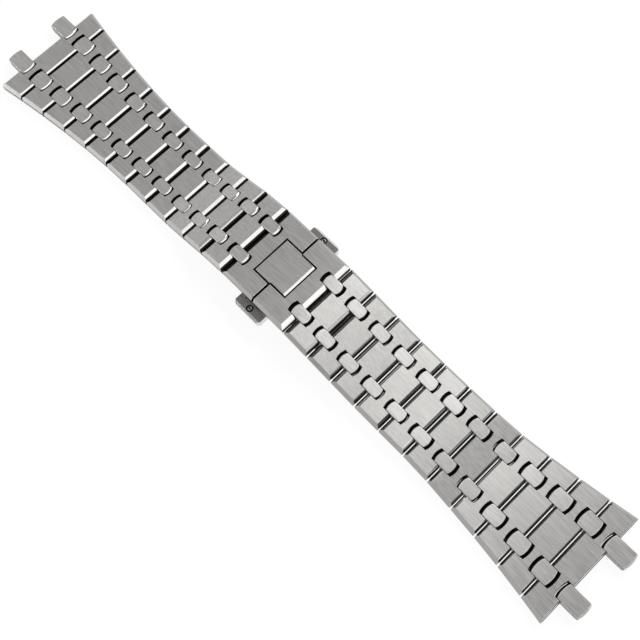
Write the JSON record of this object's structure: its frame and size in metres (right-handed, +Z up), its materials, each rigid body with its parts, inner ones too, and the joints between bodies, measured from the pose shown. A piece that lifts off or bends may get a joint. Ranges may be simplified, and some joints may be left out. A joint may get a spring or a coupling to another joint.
{
  "type": "integrated link watch bracelet",
  "caption": "Brushed steel bracelet of wide flat links joined by small studs, flaring towards the case, with a folding clasp and side pushers.",
  "frame": {"origin": "middle of the shut clasp, on the surface that the bracelet lies on", "axes": "+X along the band towards the end of half B, +Y across the band, +Z up, out of the outer face"},
  "size_m": [0.1765, 0.0276, 0.0095],
  "materials": {
    "brushed_steel": "satin, brushed along the band, with polished bevels",
    "satin_steel": "satin",
    "pusher_steel": "satin with polished edges",
    "pin_steel": "ground"
  },
  "bodies": {
    "clasp_base": {"clasp_base": "satin_steel", "base_pins": "pin_steel", "emblem_plate": "brushed_steel", "emblem_screws": "pin_steel", "pusher_springs": "pin_steel", "pusher_stops": "pin_steel"},
    "pusher_left": {"pusher_left": "pusher_steel"},
    "pusher_right": {"pusher_right": "pusher_steel"},
    "arm_a": {"arm_a": "satin_steel", "cover_pin_a": "pin_steel"},
    "cover_a": {"cover_a": "brushed_steel"},
    "studs_a01": {"studs_a01": "brushed_steel"},
    "link_a01": {"link_a01": "brushed_steel"},
    "studs_a02": {"studs_a02": "brushed_steel"},
    "link_a02": {"link_a02": "brushed_steel"},
    "studs_a03": {"studs_a03": "brushed_steel"},
    "link_a03": {"link_a03": "brushed_steel"},
    "studs_a04": {"studs_a04": "brushed_steel"},
    "link_a04": {"link_a04": "brushed_steel"},
    "studs_a05": {"studs_a05": "brushed_steel"},
    "link_a05": {"link_a05": "brushed_steel"},
    "studs_a06": {"studs_a06": "brushed_steel"},
    "link_a06": {"link_a06": "brushed_steel"},
    "studs_a07": {"studs_a07": "brushed_steel"},
    "link_a07": {"link_a07": "brushed_steel"},
    "studs_a08": {"studs_a08": "brushed_steel"},
    "link_a08": {"link_a08": "brushed_steel"},
    "studs_a09": {"studs_a09": "brushed_steel"},
    "link_a09": {"link_a09": "brushed_steel"},
    "studs_a10": {"studs_a10": "brushed_steel"},
    "link_a10": {"link_a10": "brushed_steel"},
    "studs_a11": {"studs_a11": "brushed_steel"},
    "link_a11": {"link_a11": "brushed_steel"},
    "studs_a12": {"studs_a12": "brushed_steel"},
    "arm_b": {"arm_b": "satin_steel", "cover_pin_b": "pin_steel"},
    "cover_b": {"cover_b": "brushed_steel"},
    "studs_b01": {"studs_b01": "brushed_steel"},
    "link_b01": {"link_b01": "brushed_steel"},
    "studs_b02": {"studs_b02": "brushed_steel"},
    "link_b02": {"link_b02": "brushed_steel"},
    "studs_b03": {"studs_b03": "brushed_steel"},
    "link_b03": {"link_b03": "brushed_steel"},
    "studs_b04": {"studs_b04": "brushed_steel"},
    "link_b04": {"link_b04": "brushed_steel"},
    "studs_b05": {"studs_b05": "brushed_steel"},
    "link_b05": {"link_b05": "brushed_steel"},
    "studs_b06": {"studs_b06": "brushed_steel"},
    "link_b06": {"link_b06": "brushed_steel"},
    "studs_b07": {"studs_b07": "brushed_steel"},
    "link_b07": {"link_b07": "brushed_steel"},
    "studs_b08": {"studs_b08": "brushed_steel"},
    "link_b08": {"link_b08": "brushed_steel"},
    "studs_b09": {"studs_b09": "brushed_steel"},
    "link_b09": {"link_b09": "brushed_steel"},
    "studs_b10": {"studs_b10": "brushed_steel"},
    "link_b10": {"link_b10": "brushed_steel"},
    "studs_b11": {"studs_b11": "brushed_steel"},
    "link_b11": {"link_b11": "brushed_steel"},
    "studs_b12": {"studs_b12": "brushed_steel"}
  },
  "joints": [
    {"name": "arm_a_swing", "type": "hinge", "parent": "clasp_base", "child": "arm_a", "pos_m": [-0.019, 0, 0.001], "axis": [0, -1, 0], "range_deg": [0, 150]},
    {"name": "cover_a_turn", "type": "hinge", "parent": "arm_a", "child": "cover_a", "pos_m": [-0.0056, 0, 0.0053], "axis": [0, -1, 0], "range_deg": [-150, 0]},
    {"name": "studs_a01_hinge", "type": "hinge", "parent": "cover_a", "child": "studs_a01", "pos_m": [-0.00812, 0, 0.0078], "axis": [0, 1, 0], "range_deg": [-1.5, 13.5]},
    {"name": "link_a01_hinge", "type": "hinge", "parent": "studs_a01", "child": "link_a01", "pos_m": [-0.01051, 0, 0.00757], "axis": [0, 1, 0], "range_deg": [-1.5, 13.5]},
    {"name": "studs_a02_hinge", "type": "hinge", "parent": "link_a01", "child": "studs_a02", "pos_m": [-0.01493, 0, 0.00671], "axis": [0, 1, 0], "range_deg": [-2, 13]},
    {"name": "link_a02_hinge", "type": "hinge", "parent": "studs_a02", "child": "link_a02", "pos_m": [-0.01723, 0, 0.00605], "axis": [0, 1, 0], "range_deg": [-2, 13]},
    {"name": "studs_a03_hinge", "type": "hinge", "parent": "link_a02", "child": "studs_a03", "pos_m": [-0.02143, 0, 0.00443], "axis": [0, 1, 0], "range_deg": [-13, 6]},
    {"name": "link_a03_hinge", "type": "hinge", "parent": "studs_a03", "child": "link_a03", "pos_m": [-0.0237, 0, 0.00365], "axis": [0, 1, 0], "range_deg": [-13, 6]},
    {"name": "studs_a04_hinge", "type": "hinge", "parent": "link_a03", "child": "studs_a04", "pos_m": [-0.02801, 0, 0.00234], "axis": [0, 1, 0], "range_deg": [-18, 1]},
    {"name": "link_a04_hinge", "type": "hinge", "parent": "studs_a04", "child": "link_a04", "pos_m": [-0.03037, 0, 0.00192], "axis": [0, 1, 0], "range_deg": [-18, 1]},
    {"name": "studs_a05_hinge", "type": "hinge", "parent": "link_a04", "child": "studs_a05", "pos_m": [-0.03486, 0, 0.00168], "axis": [0, 1, 0], "range_deg": [-12, 7]},
    {"name": "link_a05_hinge", "type": "hinge", "parent": "studs_a05", "child": "link_a05", "pos_m": [-0.03726, 0, 0.0016], "axis": [0, 1, 0], "range_deg": [-12, 7]},
    {"name": "studs_a06_hinge", "type": "hinge", "parent": "link_a05", "child": "studs_a06", "pos_m": [-0.04176, 0, 0.00152], "axis": [0, 1, 0], "range_deg": [-11.5, 7.5]},
    {"name": "link_a06_hinge", "type": "hinge", "parent": "studs_a06", "child": "link_a06", "pos_m": [-0.04416, 0, 0.0015], "axis": [0, 1, 0], "range_deg": [-11.5, 7.5]},
    {"name": "studs_a07_hinge", "type": "hinge", "parent": "link_a06", "child": "studs_a07", "pos_m": [-0.04866, 0, 0.0015], "axis": [0, 1, 0], "range_deg": [-11, 8]},
    {"name": "link_a07_hinge", "type": "hinge", "parent": "studs_a07", "child": "link_a07", "pos_m": [-0.05106, 0, 0.0015], "axis": [0, 1, 0], "range_deg": [-11, 8]},
    {"name": "studs_a08_hinge", "type": "hinge", "parent": "link_a07", "child": "studs_a08", "pos_m": [-0.05556, 0, 0.0015], "axis": [0, 1, 0], "range_deg": [-11, 8]},
    {"name": "link_a08_hinge", "type": "hinge", "parent": "studs_a08", "child": "link_a08", "pos_m": [-0.05796, 0, 0.0015], "axis": [0, 1, 0], "range_deg": [-11, 8]},
    {"name": "studs_a09_hinge", "type": "hinge", "parent": "link_a08", "child": "studs_a09", "pos_m": [-0.06246, 0, 0.0015], "axis": [0, 1, 0], "range_deg": [-11, 8]},
    {"name": "link_a09_hinge", "type": "hinge", "parent": "studs_a09", "child": "link_a09", "pos_m": [-0.06486, 0, 0.0015], "axis": [0, 1, 0], "range_deg": [-11, 8]},
    {"name": "studs_a10_hinge", "type": "hinge", "parent": "link_a09", "child": "studs_a10", "pos_m": [-0.06936, 0, 0.0015], "axis": [0, 1, 0], "range_deg": [-11, 8]},
    {"name": "link_a10_hinge", "type": "hinge", "parent": "studs_a10", "child": "link_a10", "pos_m": [-0.07176, 0, 0.0015], "axis": [0, 1, 0], "range_deg": [-11, 8]},
    {"name": "studs_a11_hinge", "type": "hinge", "parent": "link_a10", "child": "studs_a11", "pos_m": [-0.07626, 0, 0.0015], "axis": [0, 1, 0], "range_deg": [-11, 8]},
    {"name": "link_a11_hinge", "type": "hinge", "parent": "studs_a11", "child": "link_a11", "pos_m": [-0.07866, 0, 0.0015], "axis": [0, 1, 0], "range_deg": [-11, 8]},
    {"name": "studs_a12_hinge", "type": "hinge", "parent": "link_a11", "child": "studs_a12", "pos_m": [-0.08251, 0, 0.0015], "axis": [0, 1, 0], "range_deg": [-11, 8]},
    {"name": "arm_b_swing", "type": "hinge", "parent": "clasp_base", "child": "arm_b", "pos_m": [0.019, 0, 0.001], "axis": [0, 1, 0], "range_deg": [0, 150]},
    {"name": "cover_b_turn", "type": "hinge", "parent": "arm_b", "child": "cover_b", "pos_m": [0.0056, 0, 0.0053], "axis": [0, 1, 0], "range_deg": [-150, 0]},
    {"name": "studs_b01_hinge", "type": "hinge", "parent": "cover_b", "child": "studs_b01", "pos_m": [0.00812, 0, 0.0078], "axis": [0, 1, 0], "range_deg": [-13.5, 1.5]},
    {"name": "link_b01_hinge", "type": "hinge", "parent": "studs_b01", "child": "link_b01", "pos_m": [0.01051, 0, 0.00757], "axis": [0, 1, 0], "range_deg": [-13.5, 1.5]},
    {"name": "studs_b02_hinge", "type": "hinge", "parent": "link_b01", "child": "studs_b02", "pos_m": [0.01493, 0, 0.00671], "axis": [0, 1, 0], "range_deg": [-8.5, 6.5]},
    {"name": "link_b02_hinge", "type": "hinge", "parent": "studs_b02", "child": "link_b02", "pos_m": [0.01728, 0, 0.00623], "axis": [0, 1, 0], "range_deg": [-8.5, 6.5]},
    {"name": "studs_b03_hinge", "type": "hinge", "parent": "link_b02", "child": "studs_b03", "pos_m": [0.02168, 0, 0.00529], "axis": [0, 1, 0], "range_deg": [-7, 12]},
    {"name": "link_b03_hinge", "type": "hinge", "parent": "studs_b03", "child": "link_b03", "pos_m": [0.02404, 0, 0.00483], "axis": [0, 1, 0], "range_deg": [-7, 12]},
    {"name": "studs_b04_hinge", "type": "hinge", "parent": "link_b03", "child": "studs_b04", "pos_m": [0.02847, 0, 0.00405], "axis": [0, 1, 0], "range_deg": [-5.5, 13.5]},
    {"name": "link_b04_hinge", "type": "hinge", "parent": "studs_b04", "child": "link_b04", "pos_m": [0.03085, 0, 0.00374], "axis": [0, 1, 0], "range_deg": [-5.5, 13.5]},
    {"name": "studs_b05_hinge", "type": "hinge", "parent": "link_b04", "child": "studs_b05", "pos_m": [0.03533, 0, 0.00335], "axis": [0, 1, 0], "range_deg": [-6.5, 12.5]},
    {"name": "link_b05_hinge", "type": "hinge", "parent": "studs_b05", "child": "link_b05", "pos_m": [0.03773, 0, 0.0032], "axis": [0, 1, 0], "range_deg": [-6.5, 12.5]},
    {"name": "studs_b06_hinge", "type": "hinge", "parent": "link_b05", "child": "studs_b06", "pos_m": [0.04222, 0, 0.00304], "axis": [0, 1, 0], "range_deg": [-9.25, 9.75]},
    {"name": "link_b06_hinge", "type": "hinge", "parent": "studs_b06", "child": "link_b06", "pos_m": [0.04462, 0, 0.00291], "axis": [0, 1, 0], "range_deg": [-9.25, 9.75]},
    {"name": "studs_b07_hinge", "type": "hinge", "parent": "link_b06", "child": "studs_b07", "pos_m": [0.0491, 0, 0.00256], "axis": [0, 1, 0], "range_deg": [-9.75, 9.25]},
    {"name": "link_b07_hinge", "type": "hinge", "parent": "studs_b07", "child": "link_b07", "pos_m": [0.05149, 0, 0.00229], "axis": [0, 1, 0], "range_deg": [-9.75, 9.25]},
    {"name": "studs_b08_hinge", "type": "hinge", "parent": "link_b07", "child": "studs_b08", "pos_m": [0.05595, 0, 0.00167], "axis": [0, 1, 0], "range_deg": [-4, 15]},
    {"name": "link_b08_hinge", "type": "hinge", "parent": "studs_b08", "child": "link_b08", "pos_m": [0.05834, 0, 0.0015], "axis": [0, 1, 0], "range_deg": [-4, 15]},
    {"name": "studs_b09_hinge", "type": "hinge", "parent": "link_b08", "child": "studs_b09", "pos_m": [0.06284, 0, 0.0015], "axis": [0, 1, 0], "range_deg": [-8, 11]},
    {"name": "link_b09_hinge", "type": "hinge", "parent": "studs_b09", "child": "link_b09", "pos_m": [0.06524, 0, 0.0015], "axis": [0, 1, 0], "range_deg": [-8, 11]},
    {"name": "studs_b10_hinge", "type": "hinge", "parent": "link_b09", "child": "studs_b10", "pos_m": [0.06974, 0, 0.0015], "axis": [0, 1, 0], "range_deg": [-8, 11]},
    {"name": "link_b10_hinge", "type": "hinge", "parent": "studs_b10", "child": "link_b10", "pos_m": [0.07214, 0, 0.0015], "axis": [0, 1, 0], "range_deg": [-8, 11]},
    {"name": "studs_b11_hinge", "type": "hinge", "parent": "link_b10", "child": "studs_b11", "pos_m": [0.07664, 0, 0.0015], "axis": [0, 1, 0], "range_deg": [-8, 11]},
    {"name": "link_b11_hinge", "type": "hinge", "parent": "studs_b11", "child": "link_b11", "pos_m": [0.07904, 0, 0.0015], "axis": [0, 1, 0], "range_deg": [-8, 11]},
    {"name": "studs_b12_hinge", "type": "hinge", "parent": "link_b11", "child": "studs_b12", "pos_m": [0.08289, 0, 0.0015], "axis": [0, 1, 0], "range_deg": [-8, 11]},
    {"name": "pusher_left_press", "type": "slide", "parent": "clasp_base", "child": "pusher_left", "axis": [0, 1, 0], "range_m": [0, 0.0006], "stiffness_N_per_m": 300, "springref_m": -0.002},
    {"name": "pusher_right_press", "type": "slide", "parent": "clasp_base", "child": "pusher_right", "axis": [0, -1, 0], "range_m": [0, 0.0006], "stiffness_N_per_m": 300, "springref_m": -0.002}
  ],
  "couplings": [
    {"joint": "cover_a_turn", "follows": "arm_a_swing", "ratio": -1},
    {"joint": "cover_b_turn", "follows": "arm_b_swing", "ratio": -1}
  ]
}
